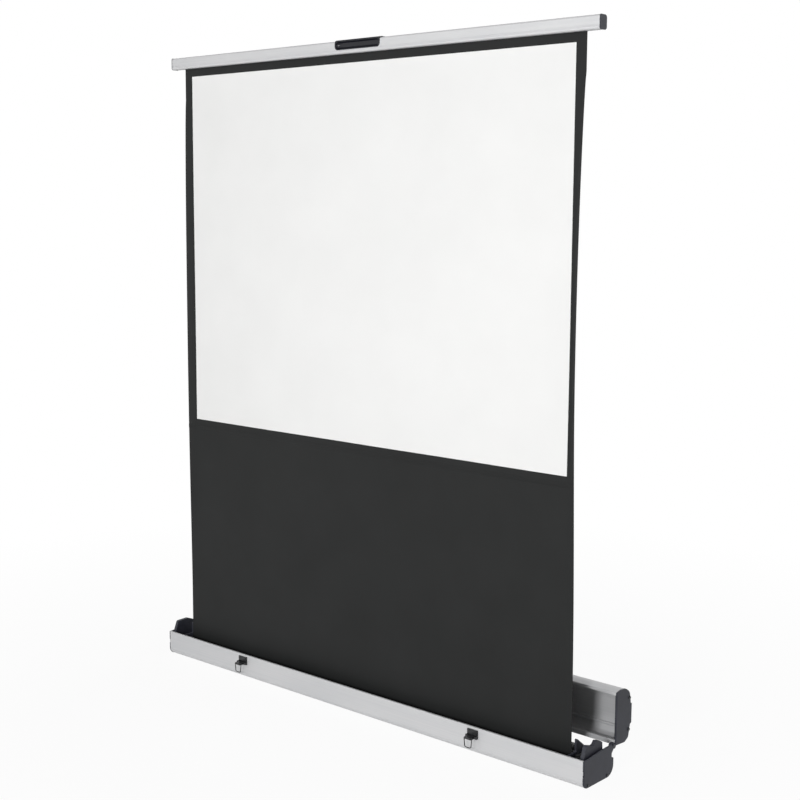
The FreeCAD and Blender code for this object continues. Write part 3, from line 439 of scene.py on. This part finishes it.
image_rows = spread(image_sill, image_top, image_cells_up)
border_rows = spread(weld_height, image_sill, hem_cells)[:-1] + image_rows
border_rows += spread(image_top, cloth_top, hem_cells)[1:]
drop_rows = spread(roller_axis.z, weld_height - 2 * weld_step, drop_cells)
drop_rows += [weld_height - weld_step, weld_height + weld_step, weld_height + weld_overlap]

screen_white = cloth_piece("screen_white_area", image_columns, image_rows, cloth_place,
                           lambda *cell: False, white_cloth, black_cloth)
screen_frame = cloth_piece("screen_black_border", columns, border_rows, cloth_place, in_image,
                           black_cloth, black_cloth)
screen_drop = cloth_piece("screen_black_drop", columns, drop_rows, drop_place,
                          lambda *cell: False, black_cloth, black_cloth)

for piece, node, slot in ((screen_white, "screen_image", "white_screen_cloth"),
                          (screen_frame, "screen_border", "black_screen_cloth"),
                          (screen_drop, "screen_drop", "black_screen_cloth")):
    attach(piece, "case")
    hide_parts(node)
    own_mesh(piece)


# Turns of cloth left on the roller
def wound_place(turned, x):
    """Middle of the sheet at x, after it has turned so far around the roller."""
    radius = wound_core + wound_sheet / 2 + wound_pitch * turned / (2 * pi)
    return Vector((x, roller_axis.y + radius * cos(turned), roller_axis.z + radius * sin(turned)))


def wound_piece():
    """Long sheet wound as a spiral, with its two ends and its sides closed."""
    mesh = bmesh.new()
    steps = wound_turns * wound_steps
    ends = (-cloth_foot_half, cloth_foot_half)
    rings = []
    for i in range(steps + 1):
        turned = 2 * pi * i / wound_steps
        out = Vector((0, cos(turned), sin(turned))) * wound_sheet / 2
        rings.append([mesh.verts.new(wound_place(turned, x) + out * side)
                      for x, side in ((ends[0], -1), (ends[1], -1), (ends[1], 1), (ends[0], 1))])
    for a, b in zip(rings, rings[1:]):
        for k in range(4):
            mesh.faces.new((a[k], a[(k + 1) % 4], b[(k + 1) % 4], b[k]))
    mesh.faces.new(reversed(rings[0]))
    mesh.faces.new(rings[-1])
    bmesh.ops.recalc_face_normals(mesh, faces=mesh.faces)
    for face in mesh.faces:
        face.smooth = abs(face.normal.x) < 0.5
    crease_rims(mesh)
    data = bpy.data.meshes.new("wound_cloth")
    mesh.to_mesh(data)
    mesh.free()
    data.materials.append(black_cloth)
    piece = bpy.data.objects.new("wound_cloth", data)
    bpy.context.scene.collection.objects.link(piece)
    return piece


wound = wound_piece()
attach(wound, "roller")
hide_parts("cloth_wrap")


# Floor and studio
def seen_directly(tree):
    """1 for the eye, in reflections and through clear pieces, and 0 for light on the object."""
    seen = add(tree, "ShaderNodeLightPath")
    eye = add(tree, "ShaderNodeMath", {0: seen.outputs["Is Camera Ray"],
                                       1: seen.outputs["Is Glossy Ray"]}, operation="MAXIMUM")
    return add(tree, "ShaderNodeMath", {0: eye.outputs["Value"],
                                        1: seen.outputs["Is Transmission Ray"]},
               operation="MAXIMUM").outputs["Value"]


def studio_floor():
    """Pale matt floor that keeps the shadow under the case and fades to white away from it."""
    material, tree = new_finish("pale_studio_floor")
    place = add(tree, "ShaderNodeTexCoord").outputs["Object"]
    away = add(tree, "ShaderNodeVectorMath", {0: place}, operation="LENGTH")
    fade = add(tree, "ShaderNodeMapRange", {
        "Value": away.outputs["Value"], "From Min": shadow_reach, "From Max": white_reach,
        "To Min": white_near, "To Max": 1.0})
    white_share = add(tree, "ShaderNodeMath", {0: seen_directly(tree), 1: fade.outputs["Result"]},
                      operation="MULTIPLY")
    paint = add(tree, "ShaderNodeBsdfPrincipled", {"Base Color": linear("#F4F4F4"), "Roughness": 0.9})
    white = add(tree, "ShaderNodeEmission", {"Color": (1.0, 1.0, 1.0, 1.0), "Strength": 1.0})
    both = add(tree, "ShaderNodeMixShader", {0: white_share.outputs["Value"],
                                             1: paint.outputs["BSDF"], 2: white.outputs["Emission"]})
    add(tree, "ShaderNodeOutputMaterial", {"Surface": both.outputs["Shader"]})
    bpy.ops.mesh.primitive_plane_add(size=floor_size, location=(0, 0, 0))
    floor = bpy.context.object
    floor.name = "studio_floor"
    floor.data.materials.append(material)


def studio_world():
    """White surroundings to the eye and in reflections, and an even soft light on the object."""
    world = bpy.data.worlds.new("studio")
    world.use_nodes = True
    bpy.context.scene.world = world
    tree = world.node_tree
    tree.nodes.clear()
    strength = add(tree, "ShaderNodeMapRange", {"Value": seen_directly(tree), "To Min": soft_light,
                                                "To Max": 1.0})
    sky = add(tree, "ShaderNodeBackground", {"Color": (1.0, 1.0, 1.0, 1.0),
                                             "Strength": strength.outputs["Result"]})
    add(tree, "ShaderNodeOutputWorld", {"Surface": sky.outputs["Background"]})


def studio_lamp(name, place, target, size, power):
    """Square softbox at place, turned to target."""
    lamp = bpy.data.lights.new(name, "AREA")
    lamp.size = size
    lamp.energy = power
    holder = bpy.data.objects.new(name, lamp)
    holder.location = place
    holder.rotation_euler = (Vector(target) - Vector(place)).to_track_quat("-Z", "Y").to_euler()
    bpy.context.scene.collection.objects.link(holder)


studio_floor()
studio_world()
studio_lamp("key_softbox", place=(1.35, -4.2, 1.45), target=(0.0, 0.0, 0.8), size=0.8, power=106.0)
studio_lamp("fill_softbox", place=(3.8, 0.3, 2.2), target=(0.0, 0.0, 0.8), size=2.4, power=26.0)
studio_lamp("rear_softbox", place=(0.5, 3.6, 3.0), target=(0.0, 0.0, 0.7), size=3.0, power=54.0)
studio_lamp("left_softbox", place=(-1.7, -4.5, 1.2), target=(0.0, 0.0, 0.8), size=1.2, power=40.0)

# Camera
forward = Vector((sin(camera_yaw) * cos(camera_pitch), cos(camera_yaw) * cos(camera_pitch),
                  sin(camera_pitch)))
level = Vector((cos(camera_yaw), -sin(camera_yaw), 0.0))
raised = level.cross(forward)
right = level * cos(camera_roll) + raised * sin(camera_roll)
up = -level * sin(camera_roll) + raised * cos(camera_roll)
camera = bpy.data.cameras.new("view_camera")
camera.sensor_fit = "HORIZONTAL"
camera.sensor_width = camera_sensor
camera.lens = camera_lens
eye = bpy.data.objects.new("view_camera", camera)
camera_turn = Matrix((right, up, -forward)).transposed().to_4x4()
eye.matrix_world = Matrix.Translation(camera_place) @ camera_turn
bpy.context.scene.collection.objects.link(eye)
bpy.context.scene.camera = eye
bpy.context.scene.view_settings.view_transform = "Standard"
